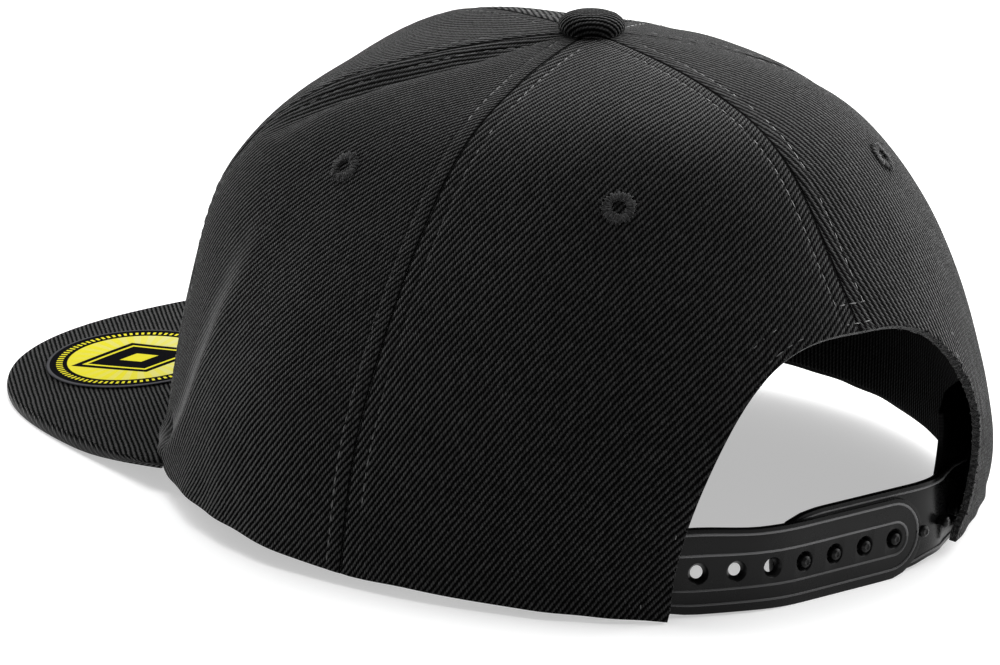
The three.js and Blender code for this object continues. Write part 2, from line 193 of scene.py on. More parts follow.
def crown(angle, share):
    """Points of the crown's outer face, in mm. The angle is in degrees from the front to the wearer's left,
    and the share is 0 at the rim and 1 on top."""
    angle, share = np.broadcast_arrays(np.asarray(angle, float), np.asarray(share, float))
    turn = abs((angle + 540) % 360 - 180)
    sections = (RIM, FOOT, WALL, SHOULDER, CREST)
    rim, foot, wall, shoulder, crest = (round_the_crown(sizes, turn) for sizes in sections)
    right = (angle % 360) > 180
    # The right back corner is lifted. On the left the edge hangs lower just before the side seam and by the
    # peak's end.
    lifted = CORNER_LIFT * smooth(turn, 125, 154) * (1 - smooth(turn, 157, 178))
    hung = -SIDE_HANG * smooth(turn, 90, 101) * (1 - smooth(turn, 112, 122))
    hung = hung - PEAK_END_HANG * np.exp(-((turn - 67) / 5) ** 2)
    foot = foot + np.where(right, lifted, hung)
    third, two_thirds = foot + 0.33 * (TOP - foot), foot + 0.68 * (TOP - foot)
    radii = np.array([2 * rim - wall, rim, wall, shoulder, 0.66 * shoulder, 0 * rim, -0.66 * shoulder])
    heights = np.array([2 * foot - third, foot, third, two_thirds, crest, 0 * rim + TOP, crest])
    i = np.minimum((share * 4).astype(int), 3)
    radius, height = (spline(*(np.take_along_axis(k, (i + j)[None], 0)[0] for j in range(4)), share * 4 - i)
                      for k in (radii, heights))
    # A soft dent runs up behind each front seam, deeper on the left. The right shoulder is a little fuller.
    along = np.clip((share - DENT_LOW) / DENT_TALL, 0, 1)
    near = np.minimum(1, radius / 30) + 1e-9
    off = (np.radians(turn - FRONT_SEAM) * radius - DENT_OFFSET * near) / (DENT_WIDTH * near)
    deep = np.where(right, DENT_RIGHT, DENT_LEFT) * np.sin(np.pi * along) ** 0.8 * np.exp(-off**2)
    puffed = SHOULDER_PUFF * np.exp(-((turn - 131) / 16) ** 2 - ((share - 0.52) / 0.13) ** 2)
    deep = deep - np.where(right, puffed, 0)
    radius, height = radius - deep * np.cos(share * np.pi / 2), height - deep * np.sin(share * np.pi / 2)
    lean, a = share**2 * (3 - 2 * share), np.radians(angle)
    x, y = radius * np.sin(a) + LEAN[0] * lean, LEAN[1] * lean - radius * np.cos(a)
    return np.stack([x, y, height], -1) + SHIFT


def bent(angle, share):
    """The side seams bend forward at the rim and back at the top, and the cloth beside them follows."""
    turn = abs(angle)
    near = np.where(turn < SIDE_SEAM, smooth(turn, FRONT_SEAM, SIDE_SEAM),
                    1 - smooth(turn, SIDE_SEAM, 180 - ARCH_ANGLE))
    return angle + np.sign(angle) * SEAM_BEND * (2 * share - 1) * near


def slump(angle, share):
    """On the wearer's right the lowest part of the back bulges and its hem curls in: by how much, in mm."""
    turned, up = 180 - abs(angle % 360 - 180), crown(angle, share)[..., 2] - crown(angle, 0 * share)[..., 2]
    curl = smooth(turned, 118, 130) * (CORNER_CURL * smooth(turned, 131, 146) - 0.6)
    bulge = CORNER_BULGE * np.exp(-((turned - 131) / 17) ** 2 - ((up - 14) / 12) ** 2)
    return np.where(angle % 360 > 180, bulge - curl * np.exp(-(up / 6) ** 2), 0)


def unit(v):
    return v / np.linalg.norm(v, axis=-1, keepdims=True)


def crown_normal(angle, share):
    share = np.clip(share, 0.004, 0.993)
    across = crown(angle + 0.4, share) - crown(angle - 0.4, share)
    return unit(np.cross(across, crown(angle, share + 0.004) - crown(angle, share - 0.004)))


def from_axis(angle, share):
    """How far a point of the crown is from the upright through the button, in mm."""
    p, lean = crown(angle, share), np.asarray(share)**2 * (3 - 2 * np.asarray(share))
    return np.hypot(p[..., 0] - SHIFT[0] - LEAN[0] * lean, p[..., 1] - SHIFT[1] - LEAN[1] * lean)


def arch_edge(turn):
    """The cut-away's edge over the wearer's left half, from the rim at 0 to the middle at 90."""
    t = np.radians(turn)
    out, up = np.abs(np.cos(t)) ** (2 / ARCH_SIDES), np.sin(t) ** (2 / ARCH_CREST)
    return 180 - ARCH_ANGLE * out, ARCH_SHARE * up


def grid_of(columns, rows):
    """A fresh grid, with each vertex's place across and along it from 0 to 1."""
    bm = bmesh.new()
    bmesh.ops.create_grid(bm, x_segments=columns, y_segments=rows, size=1)
    at = np.array([v.co for v in bm.verts]) / 2 + 0.5
    return bm, at[:, 0], at[:, 1]


def put(bm, points):
    for v, p in zip(bm.verts, points):
        v.co = p


def lay_cloth(bm, u, v, turned):
    """The cloth's own coordinates in mm, turned by the angle that the piece was cut at."""
    c, s = math.cos(math.radians(turned)), math.sin(math.radians(turned))
    layer = bm.loops.layers.uv.new("cloth")
    bm.verts.index_update()
    for face in bm.faces:
        for loop in face.loops:
            k = loop.vert.index
            loop[layer].uv = (u[k] * c - v[k] * s, u[k] * s + v[k] * c)


def mark(bm, name, values):
    layer = bm.verts.layers.float.new(name)
    for v, value in zip(bm.verts, values):
        v[layer] = value


def piece(name, bm, material, slot, *replaced):
    """The finished piece, from millimetres to the frame's metres, riding on the cap's one body."""
    bmesh.ops.scale(bm, verts=bm.verts, vec=(0.001, 0.001, 0.001))
    for face in bm.faces:
        face.smooth = True
    mesh = bpy.data.meshes.new(name)
    bm.to_mesh(mesh)
    bm.free()
    mesh.materials.append(material)
    made = bpy.data.objects.new(name, mesh)
    bpy.context.scene.collection.objects.link(made)
    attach(made, "root")
    if replaced:
        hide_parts(*replaced)
    return made


def thicken(made, thickness, rounding, inside=0):
    """Gives a sheet its cloth's thickness inwards and rounds its edges."""
    wall = made.modifiers.new("thickness", "SOLIDIFY")
    wall.thickness, wall.offset = thickness / 1000, -1
    wall.material_offset, wall.material_offset_rim = inside, 2 * inside
    rim = made.modifiers.new("rounded_edges", "BEVEL")
    rim.width, rim.segments = rounding / 1000, 3
    rim.limit_method, rim.angle_limit = "ANGLE", math.radians(50)


def face_outwards(bm, centre):
    bm.normal_update()
    turned = sum(1 if f.normal.dot(f.calc_center_median() - Vector(centre)) > 0 else -1 for f in bm.faces)
    if turned < 0:
        bmesh.ops.reverse_faces(bm, faces=bm.faces)


# The weave in mm: a warp yarn's width, the step up from one yarn to the next, and the repeat along a yarn.
YARN, STEP, REPEAT = 0.49, 0.70, 2.08
GAP_WIDE, GAP_LONG = 0.47, 0.62  # of a dark gap, as shares of a yarn's width and of half a repeat
RIB_ANGLE = math.degrees(math.atan2(STEP, YARN))


def twill(name, ridge, rib_relief, seam_row=None, flattened=0, sheen=0.35):
    """Heavy two-over-one twill on the cloth's own coordinates. The floats of the warp stand side by side in
    slanting ribs, and a row of small gaps lies between two ribs. The darkening in the valleys and the gaps is
    painted shade."""
    material, surface, start = finish_of(
        name, roughness=0.75, specular_ior_level=0.12, sheen_weight=sheen, sheen_roughness=0.4)
    cloth = start.node("UVMap", {"uv_map": "cloth"}, {})
    # The rows wander a little, as in any soft cloth.
    drift = start.node("TexNoise", {}, {"Vector": cloth, "Scale": 0.11, "Detail": 2.0}, 1)
    shiver = start.node("TexNoise", {}, {"Vector": cloth, "Scale": 1.1, "Detail": 2.0}, 1)
    fuzz = start.node("TexNoise", {}, {"Vector": cloth, "Scale": 3.1, "Detail": 3.0, "Roughness": 0.7})
    moved = cloth
    for wander, reach in ((drift, 0.5), (shiver, 0.45)):
        moved = start.node("VectorMath", {"operation": "MULTIPLY_ADD"},
                           {0: wander, 1: (reach, reach, 0), 2: moved})
    x, y = (start.node("SeparateXYZ", {}, {0: moved}, k) for k in (0, 1))
    number = (x / YARN).maths("FLOOR")
    across = (x / YARN).maths("FRACT") - 0.5
    along = (y - (number + across * 0.6) * STEP) / REPEAT
    seed = start.node("CombineXYZ", {}, {0: number, 1: along.maths("FLOOR")})
    chance = start.node("TexWhiteNoise", {}, {"Vector": seed})
    # 0 on the crest of a rib and 1 down in the valley beside it.
    off_crest = abs(along.maths("FRACT") - 0.5) * 2
    float_shape = off_crest.smooth(0.8, 0.05) * (1 - across * across * 2.6)
    height = float_shape * (0.75 + chance * 0.25) + fuzz * 0.35
    pulled = line = 0
    if seam_row:
        # The seam is a dark line, and the stitched row beside it draws the cloth in.
        distance = start.node("Attribute", {"attribute_name": "seam"}, {}, 2)
        pulled, line = abs(distance - seam_row).smooth(0.9, 0.1), distance.smooth(0.75, 0.2)
    # Off the crest of each float the base colour darkens, and in the valleys and gaps a black finish without
    # sheen takes the cloth's place: both are painted shade.
    tone = (0.4 + float_shape * 0.6) * (0.5 + chance * 0.85) * (0.1 + fuzz * 1.8)
    valley = (1 - float_shape) * 0.93
    gap_across, gap_along = across / GAP_WIDE, (1 - off_crest) / GAP_LONG
    gap = (1.15 - gap_across * gap_across - gap_along * gap_along) * 1.6
    gap = gap.maths("MAXIMUM", 0).maths("MINIMUM", 1)
    if flattened:
        # Where the cloth is drawn hard over an edge or a crease its ribs hardly show.
        kept = start.node("Attribute", {"attribute_name": "ribbed"}, {}, 2)
        height, tone = height * kept, tone * kept + (1 - kept) * fuzz * flattened
        # Where the cloth faces up, the painted shade in its valleys is lighter, as light from above falls
        # into them.
        upward = start.node("Attribute", {"attribute_name": "upward"}, {}, 2)
        valley, gap = valley * kept * (1 - upward * 0.4), gap * kept
    dark, light = (0.0012, 0.0012, 0.0013, 1), tuple(c * 1.6 for c in ridge) + (1,)
    start.tree.links.new((tone / 1.6).mix(dark, light).socket, surface.inputs["Base Color"])
    swell = start.node("TexNoise", {}, {"Vector": cloth, "Scale": 0.06, "Detail": 2.0})
    relief = height * rib_relief + swell * 0.5 - pulled * 0.22
    bump = start.node("Bump", {}, {"Strength": 1.0, "Distance": 0.001, "Height": relief})
    start.tree.links.new(bump.socket, surface.inputs["Normal"])
    # A black finish without sheen, for the painted shade in the valleys and gaps.
    shade_bsdf = start.node("BsdfPrincipled", {}, {
        "Base Color": (0.0008, 0.0008, 0.0008, 1), "Roughness": 1.0, "Specular IOR Level": 0.0})
    painted_shade = valley.maths("MAXIMUM", gap * 0.97).maths("MAXIMUM", line * 0.95)
    cover = start.node("MixShader", {}, {0: painted_shade, 1: start, 2: shade_bsdf})
    start.tree.links.new(cover.socket, start.tree.nodes["Material Output"].inputs["Surface"])
    return material


crown_twill = twill("crown_twill", (0.026, 0.026, 0.0262), 0.27, SEAM_ROW, flattened=0.4)


def mottled(name, grain, ends, dark, light, strength, depth, **sockets):
    """A material that a fine noise mottles between two colours and also roughens, by a depth in metres. The
    ends are where the noise is cut off. Without them it lies on the cloth's own coordinates."""
    material, surface, start = finish_of(name, **sockets)
    place = start.node("TexCoord", {}, {}, 3) if ends else start.node("UVMap", {"uv_map": "cloth"}, {})
    noise = start.node("TexNoise", {}, {"Vector": place, **grain})
    tone = noise.smooth(*ends) if ends else noise
    start.tree.links.new(tone.mix((*dark, 1), (*light, 1)).socket, surface.inputs["Base Color"])
    bump = start.node("Bump", {}, {"Strength": strength, "Distance": depth, "Height": noise})
    start.tree.links.new(bump.socket, surface.inputs["Normal"])
    return material


# The inner side of the panels is the flat back of the same black cloth, without ribs, painted darker still
# as shade inside the crown.
panel_inside = mottled("panel_inside", {"Scale": 1.4, "Detail": 3.0}, None, (0.0005, 0.0005, 0.0005),
                       (0.003, 0.003, 0.003), 0.6, 0.0002, roughness=0.9, specular_ior_level=0.1)
# Along a turned edge the ribs are folded over and show as a rough line of small loops.
turned_edge = mottled("turned_edge", {"Scale": 1300.0, "Detail": 3.0, "Roughness": 0.65}, (0.44, 0.6),
                      (0.0006, 0.0006, 0.0006), (0.017, 0.017, 0.0172), 1.0, 0.0006,
                      roughness=0.8, specular_ior_level=0.1, sheen_weight=0.3, sheen_roughness=0.4)


def panel(name, first, last, cut_angle, fineness=1, rise=(0, 0), swing=(0, 0)):
    """One panel between two seams. Over the cut-away the columns start on its edge and fan out above it."""
    back = 180 in (abs(first), abs(last))
    bm, across, along = grid_of(60 if back else 50, 70)
    along = 0.78 * along + 0.22 * along**2
    if back:
        side, corner = -1 if first < 0 else 1, 0.52
        edge_angle, edge_share = arch_edge(np.clip((across - corner) / (1 - corner), 0, 1) * 90)
        on_rim = across < corner
        rim_angle = SIDE_SEAM + (180 - ARCH_ANGLE - SIDE_SEAM) * across / corner
        edge_angle = np.where(on_rim, rim_angle, edge_angle)
        edge_share = np.where(on_rim, 0, edge_share)
        knots = (0, 0.26, 0.52, 0.68, 0.84, 1)
        guide_angle = np.interp(across, knots, (SIDE_SEAM, 129, 143, 150, 164, 180))
        guide_share = np.interp(across, knots, (0.4, 0.38, 0.36, 0.5, 0.62, 0.66))
        top_angle = SIDE_SEAM + (180 - SIDE_SEAM) * across
        a, b, c = (1 - along) ** 2, 2 * along * (1 - along), along**2
        angle = side * (a * edge_angle + b * guide_angle + c * top_angle)
        share = a * edge_share + b * guide_share + c * PANEL_TOP
    else:
        even = 0.35 * across + 0.65 * (0.5 - 0.5 * np.cos(np.pi * across))
        angle, share = first + (last - first) * even, along * PANEL_TOP
    angle = bent(angle, share)
    radius = from_axis(angle, share)
    to_seam = np.minimum(*(np.radians(abs(angle - bent(s, share))) * radius for s in (first, last)))
    middle, lengths = (first + last) / 2, np.linspace(0, 1, 120)
    meridian = crown(middle, lengths)
    run = np.concatenate([[0], np.cumsum(np.linalg.norm(np.diff(meridian, axis=0), axis=1))])
    u, v = np.radians(angle - middle) * radius, np.interp(share, lengths, run)
    # The sewn edge dips and the stitched row draws the cloth in. The whole panel is a little uneven, and the
    # turned edge at the rim puckers.
    relief = (-0.14 * np.exp(-(to_seam / 0.6) ** 2) + 0.05 * np.exp(-((to_seam - 2) / 1.2) ** 2)
              - 0.06 * np.exp(-((to_seam - SEAM_ROW) / 0.8) ** 2)
              + 0.12 * np.sin(u / 6.3 + 1.7 * np.sin(v / 14)) * np.sin(v / 9.1 + u / 23)
              + 0.22 * np.exp(-(v / 7) ** 2) * np.sin(u / 3.6 + 2.2 * np.sin(u / 13)))
    # A slack crease runs up each side panel from the peak's end. There the cloth bulges over the end and is
    # gathered in a small knot.
    turned = abs(angle)
    crease = CREASE_TOP - CREASE_LEAN * np.exp(-share / CREASE_RISE)
    off_crease = np.radians(turned - crease) * radius
    slack = smooth(share, 0.5, 0.3)
    fold = 0.4 * np.exp(-(off_crease / 3.4) ** 2) - 0.5 * np.exp(-((off_crease - 5.5) / 3.5) ** 2)
    relief -= slack * fold
    off_bulge, off_knot = (np.radians(turned - a) * radius for a in (BULGE_ANGLE, KNOT_ANGLE))
    relief += 1.3 * np.exp(-(off_bulge / 7) ** 2 - ((v - BULGE_HEIGHT) / 3.4) ** 2)
    relief -= 1.6 * np.exp(-(off_knot / 2.4) ** 2 - ((v - KNOT_HEIGHT) / 3) ** 2)
    flat = slack * np.exp(-(off_crease / (3 + smooth(share, 0.3, 0))) ** 2)
    relief += slump(angle, share)
    put(bm, crown(angle, share) + crown_normal(angle, share) * relief[:, None])
    mark(bm, "seam", to_seam)
    mark(bm, "ribbed", 1 - 0.6 * flat)
    # How far each place faces up, which lightens the twill's painted shade in its valleys.
    mark(bm, "upward", np.clip(crown_normal(angle, share)[:, 2], 0, 1))
    # The ribs don't run quite straight: some panels' cloth is drawn askew above a height or beyond an upright
    # line.
    drawn_u = u + rise[0] * (np.hypot(v - rise[1], 15) + v - rise[1]) / 2
    drawn_v = v + swing[0] * (np.hypot(u - swing[1], 12) + u - swing[1]) / 2
    lay_cloth(bm, drawn_u * fineness, drawn_v * fineness, RIB_ANGLE - cut_angle)
    face_outwards(bm, (0, SHIFT[1], 40))
    made = piece(name + "_cloth", bm, crown_twill, "black_twill", name)
    made.data.materials.append(panel_inside)
    made.data.materials.append(turned_edge)
    thicken(made, CLOTH_THICK, CLOTH_ROUNDING, 1)


panel("left_front_panel", 0, FRONT_SEAM, 86, 0.86)
panel("right_front_panel", -FRONT_SEAM, 0, 86, 0.86)
panel("left_side_panel", FRONT_SEAM, SIDE_SEAM, 52, 1.12, rise=(0.17, 15))
panel("right_side_panel", -SIDE_SEAM, -FRONT_SEAM, 52, 1.12)
panel("left_back_panel", SIDE_SEAM, 180, 55.5, 1.12, rise=(-0.12, 45), swing=(0.3, 5))
panel("right_back_panel", -180, -SIDE_SEAM, 79, 0.87)

# The topstitching is a thick black thread with a little shine, about 3 mm to a stitch. A row runs on either
# side of every seam up to the button, and two more follow the turned edge of the cut-away.
thread = mottled("sewing_thread", {"Scale": 900.0, "Detail": 2.0}, (0.3, 0.75), (0.005, 0.005, 0.005),
                 (0.03, 0.03, 0.031), 0.5, 0.0001,
                 roughness=0.3, specular_ior_level=0.9, sheen_weight=0.3, sheen_roughness=0.3)
chance = np.random.default_rng(7)


def run_along(points):
    """How far along its line each point lies."""
    return np.concatenate([[0], np.cumsum(np.linalg.norm(np.diff(points, axis=0), axis=1))])


STITCH_PITCH, STITCH_LENGTH, STITCH_WIDTH = 2.9, 2.1, 0.34


def sew(bm, points, normals, sunk=0):
    """Stitches along a line of points, each a small rounded bead laid along it, none quite like the next."""
    run = run_along(points)
    for k in range(int(run[-1] / STITCH_PITCH)):
        at = (k + 0.5 + chance.uniform(-0.08, 0.08)) * STITCH_PITCH
        here, ahead = ([np.interp(at + d, run, points[:, i]) for i in range(3)] for d in (0, 0.6))
        up = Vector([np.interp(at, run, normals[:, i]) for i in range(3)]).normalized()
        along = (Vector(ahead) - Vector(here)).normalized()
        side = up.cross(along).normalized()
        along = (along + side * chance.uniform(-0.09, 0.09) + up * chance.uniform(-0.03, 0.03)).normalized()
        turned = Matrix((along, side, along.cross(side))).transposed().to_4x4()
        place = Matrix.Translation(Vector(here) - up * (sunk + chance.uniform(0.04, 0.16)))
        length = STITCH_LENGTH * chance.uniform(0.4, 0.54)
        size = Matrix.Diagonal((STITCH_WIDTH * 0.42, STITCH_WIDTH / 2, length, 1))
        bmesh.ops.create_uvsphere(bm, u_segments=6, v_segments=5, radius=1,
                                  matrix=place @ turned @ Matrix.Rotation(math.pi / 2, 4, "Y") @ size)


STITCHED_FROM, STITCHED_TO, ARCH_ROWS = 0.012, 0.955, (1.9, 6.4)
bm = bmesh.new()
for seam in SEAMS:
    share = np.linspace(ARCH_SHARE + 0.03 if seam == 180 else STITCHED_FROM, STITCHED_TO, 160)
    for side in (-1, 1):
        middle = bent(seam, share)
        angle = middle + side * np.degrees(SEAM_ROW / np.maximum(from_axis(middle, share), 4))
        sew(bm, crown(angle, share), crown_normal(angle, share))
piece("seam_stitching", bm, thread, "black_twill")


def beside_arch(distance):
    """The line at a distance inside the cut-away's edge, from one end to the other."""
    turn = np.linspace(1.5, 178.5, 240)
    half, edge_share = arch_edge(np.where(turn > 90, 180 - turn, turn))
    edge_angle = np.where(turn > 90, 360 - half, half)
    edge = crown(edge_angle, edge_share)
    along = unit(np.gradient(edge, axis=0))
    target = edge + unit(np.cross(along, crown_normal(edge_angle, edge_share))) * -distance
    angle, share = edge_angle, edge_share
    # The target lies a little off the curved crown. A few steps find the crown's nearest point to it.
    for _ in range(5):
        miss = target - crown(angle, share)
        by_angle = (crown(angle + 0.1, share) - crown(angle - 0.1, share)) / 0.2
        by_share = (crown(angle, share + 0.002) - crown(angle, share - 0.002)) / 0.004
        aa, ss, cs = ((by_angle**2).sum(1), (by_share**2).sum(1), (by_angle * by_share).sum(1))
        ma, ms = (miss * by_angle).sum(1), (miss * by_share).sum(1)
        det = aa * ss - cs**2
        angle = angle + (ma * ss - ms * cs) / det
        share = np.clip(share + (ms * aa - ma * cs) / det, 0.002, 1)
    out = crown_normal(angle, share)
    return crown(angle, share) + out * slump(angle, share)[:, None], out


bm = bmesh.new()
for distance in ARCH_ROWS:
    sew(bm, *beside_arch(distance), 0.1)
piece("arch_stitching", bm, thread, "black_twill")

# Where the twill is folded round the cut-away's edge its yarns stand up as a rough row of small loops. They
# are the cloth's own, larger toward the wearer's right.
LOOP_PITCH, LOOP_LINE = 0.28, 0.3
bm = bmesh.new()
line, outwards = beside_arch(LOOP_LINE)
run = run_along(line)
for k in range(int(run[-1] / LOOP_PITCH)):
    at = (k + chance.uniform(0, 1)) * LOOP_PITCH
    here, out = (Vector([np.interp(at, run, p[:, i]) for i in range(3)]) for p in (line, outwards))
    size = 0.6 + 0.5 * smooth(at / run[-1], 0.45, 0.65)
    spin = Matrix.Rotation(chance.uniform(0, math.tau), 4, "Z")
    spin = spin @ Matrix.Rotation(chance.uniform(0, math.pi), 4, "X")
    place = Matrix.Translation(here - out * chance.uniform(0, 1.6)) @ spin
    loop = Matrix.Diagonal((0.26 * size, 0.3 * size, chance.uniform(0.4, 0.75) * size, 1))
    bmesh.ops.create_uvsphere(bm, u_segments=6, v_segments=4, radius=1, matrix=place @ loop)
piece("arch_edge_loops", bm, turned_edge, "black_twill")

# The button is a small metal blank covered in the crown's twill, riveted through the top where the six panels
# meet. Its cloth is drawn tight over the dome and tucked under, and it stands just clear of the crown.
BUTTON_CUT = 144


def lathe(bm, profile, steps, closed=False, centre=(0, 0, 0)):
    """Turns a profile of radii and heights round the upright through its centre, as new vertices."""
    x, y, z = centre
    before = set(bm.verts)
    verts = [bm.verts.new((x + radius, y, z + height)) for radius, height in profile]
    edges = [bm.edges.new(pair) for pair in zip(verts, verts[1:] + verts[:1] if closed else verts[1:])]
    bmesh.ops.spin(bm, geom=verts + edges, cent=(x, y, 0), axis=(0, 0, 1), angle=math.tau, steps=steps,
                   use_merge=True)
    bmesh.ops.remove_doubles(bm, verts=[v for v in bm.verts if v not in before], dist=0.001)


bm = bmesh.new()
profile = [(0, -0.3), (5.6, -0.3), (6.9, 0.0), (7.5, 0.7), (7.6, 1.4), (7.45, 2.2), (6.9, 3.1), (5.9, 3.9),
           (4.4, 4.45), (2.4, 4.62), (0, 4.65)]
lathe(bm, profile, 56)
bmesh.ops.recalc_face_normals(bm, faces=bm.faces)
at = np.array([v.co for v in bm.verts])
reach = np.hypot(at[:, 0], at[:, 1])
# The cloth's own coordinates spread with the run over the dome, from its middle down.
down = profile[::-1]
runs = run_along(np.array(down))
order = np.array([np.argmin([math.dist((r, z), p) for p in down]) for r, z in zip(reach, at[:, 2])])
spread = runs[order] / np.maximum(reach, 1e-6)
lay_cloth(bm, at[:, 0] * spread, at[:, 1] * spread, RIB_ANGLE - BUTTON_CUT)
bmesh.ops.translate(bm, verts=bm.verts, vec=SHIFT + [*LEAN, TOP + BUTTON_GAP])
# Its twill is painted darker than the crown's, as painted shade.
button_twill = twill("button_twill", (0.019, 0.019, 0.0194), 0.22)
piece("button_cloth", bm, button_twill, "black_twill", "crown_button")

# The peak is a stiff flat board covered above and below in the same twill, which is wrapped round its outer
# edge, and sewn under the crown's front along its inner edge.
PEAK_THICK, PEAK_WIDTH, PEAK_START, PEAK_REACH, PEAK_POWER, PEAK_END = 3.4, 85.5, -45.5, 103.6, 3.76, 64
PEAK_HEIGHT, PEAK_SLOPE, PEAK_SCOOP, PEAK_BEND, PEAK_DROOP = 8.4, 0.059, 2.7, 6.1, 1.3
PEAK_THINNED, PEAK_FINENESS, PEAK_CUT = 83, 1.09, 64.5


def peak_top(x, y):
    """Height of the peak's upper face, for a place counted from the crown's own middle."""
    out = y + 95
    droop = PEAK_DROOP * smooth(abs(x), 55, 85) * smooth(y, -105, -55)
    return (PEAK_HEIGHT + PEAK_SLOPE * out + PEAK_SCOOP * (out / 60) ** 2 - PEAK_BEND * (x / 90) ** 2 - droop
            + PEAK_THICK / 2)


def peak_outline(turn, depth):
    """Places on the peak: round its edge from -90 to 90, and 0 at the outer edge to 1 at the crown."""
    def grow(v):
        return np.sign(v) * abs(v) ** (2 / PEAK_POWER)
    t = np.radians(turn)
    outer = np.stack([PEAK_WIDTH * grow(np.sin(t)), PEAK_START - PEAK_REACH * grow(np.cos(t))], -1)
    angle = PEAK_END * turn / 90
    foot = crown(angle[:, None], np.array([0, 0.03, 0.06])) - SHIFT
    rim = 0.15 + np.hypot(foot[..., 0], foot[..., 1]).max(1)
    inner = np.stack([rim * np.sin(np.radians(angle)), -rim * np.cos(np.radians(angle))], -1)
    return outer + (inner - outer) * depth[:, None]


# Its twill is painted darker than the crown's, as painted shade.
peak_twill = twill("peak_twill", (0.0135, 0.0135, 0.0137), 0.24, flattened=0.05)
bm, across, along = grid_of(120, 68)
# Round the section: from the inner edge over the top, round the rolled edge, back underneath and up inside.
ROLL, UNDER, INSIDE = 0.4, 0.54, 0.95
ROLLED_DEPTH = 0.012
depth = np.interp(along, (0, ROLL, UNDER, INSIDE, 1), (1, ROLLED_DEPTH, ROLLED_DEPTH, 1, 1))
round_edge = np.interp(along, (0, ROLL, UNDER, INSIDE, 1), (0, 0, np.pi, np.pi, 2 * np.pi))
turn = -90 + 180 * across
flat = peak_outline(turn, depth)
outwards = unit(peak_outline(turn, np.zeros_like(turn)) - peak_outline(turn, np.full_like(turn, 0.05)))
half = PEAK_THICK / 2
wrapped = (flat + outwards * (half * round_edge)[:, None]) * PEAK_FINENESS
flat = flat + outwards * (half * 0.62 * np.sin(round_edge) * (along < INSIDE))[:, None]
# Where it is tucked in beside the crown, the board thins out to a rounded end.
thin = np.sqrt(1 - (np.clip(abs(turn) - PEAK_THINNED, 0, 6.95) / 7) ** 2)
height = peak_top(flat[:, 0], flat[:, 1]) - half + half * thin * np.cos(round_edge) + 0.5 * half * (1 - thin)
put(bm, np.column_stack([flat, height]) + SHIFT)
mark(bm, "ribbed", 1 - 0.7 * smooth(along, 0.44, 0.48) * smooth(along, 0.58, 0.54))
lay_cloth(bm, wrapped[:, 0], wrapped[:, 1], RIB_ANGLE - PEAK_CUT)
bmesh.ops.remove_doubles(bm, verts=bm.verts, dist=0.01)
bmesh.ops.holes_fill(bm, edges=[e for e in bm.edges if e.is_boundary], sides=0)
bmesh.ops.recalc_face_normals(bm, faces=bm.faces)
piece("peak_cloth", bm, peak_twill, "black_twill", "peak")

# The sticker on the peak is a round of printed foil with a dark grey rim, stuck down flat. The print is a
# plain ornament: a black lozenge on yellow rays, inside a black ring with yellow ticks.
STICKER_X, STICKER_Y, STICKER_LIFT, STICKER_TURN = 45.1, -114.1, 0.25, 24
foil, foil_surface, start = finish_of("printed_foil", roughness=0.45, specular_ior_level=0)
print_place = start.node("UVMap", {"uv_map": "cloth"}, {})
x, y = (start.node("SeparateXYZ", {}, {0: print_place}, k) for k in (0, 1))
reach = (x * x + y * y) ** 0.5
bearing = y.maths("ARCTAN2", x) / math.tau
rays = abs((bearing * 28).maths("FRACT") - 0.5).smooth(0.22, 0.28)
lozenge = abs(x) / 16.6 + abs(y) / 12.4
outline = abs(lozenge - 0.8).smooth(0.05, 0.035)
jewel = lozenge.smooth(0.3, 0.27)
ticks = abs((bearing * 84).maths("FRACT") - 0.5).smooth(0.27, 0.2)
ticks = ticks * abs(reach - 19.4).smooth(0.85, 0.7)
yellow, pale, black = (0.55, 0.5, 0.03, 1), (0.5, 0.49, 0.24, 1), (0.005, 0.005, 0.006, 1)
field = (x / 36 + 0.5 + rays * 0.35).mix(pale, yellow)
field = lozenge.smooth(1.02, 0.99).mix(field, black)
field = outline.maths("MAXIMUM", jewel).mix(field, yellow)
field = reach.smooth(17.4, 17.6).mix(field, black)
field = ticks.mix(field, yellow)
rim = reach.smooth(21.7, 21.9)
field = rim.mix(field, (0.05, 0.05, 0.055, 1))
start.tree.links.new(field.socket, foil_surface.inputs["Base Color"])
start.tree.links.new((rim * 0.3).socket, foil_surface.inputs["Metallic"])
bm = bmesh.new()
profile = [(0, 0), (22.3, 0), (22.6, 0.1), (22.6, 0.25), (22.4, 0.38), (21.9, 0.4), (17.4, 0.4), (11.6, 0.4),
           (5.8, 0.4), (0, 0.4)]
lathe(bm, profile, 72)
bmesh.ops.recalc_face_normals(bm, faces=bm.faces)
at = np.array([v.co for v in bm.verts])
lay_cloth(bm, at[:, 0], at[:, 1], STICKER_TURN)
x, y = at[:, 0] + STICKER_X, at[:, 1] + STICKER_Y
put(bm, np.column_stack([x, y, at[:, 2] + STICKER_LIFT + peak_top(x, y)]) + SHIFT)
piece("peak_sticker_foil", bm, foil, "sticker_foil", "peak_sticker")

# Each eyelet is a hole in a panel oversewn with soft black thread: radial stitches side by side over a raised
# ring, with loose fibres standing out of them. One sits in each side and back panel.
EYELET_STITCHES, EYELET_FIBRES = 34, 60
eyelet_thread = mottled("eyelet_thread", {"Scale": 1500.0, "Detail": 2.0}, (0.35, 0.7), (0.004, 0.004, 0.004),
                        (0.04, 0.04, 0.041), 0.6, 0.0001,
                        roughness=0.75, specular_ior_level=0.15, sheen_weight=0.4, sheen_roughness=0.4)


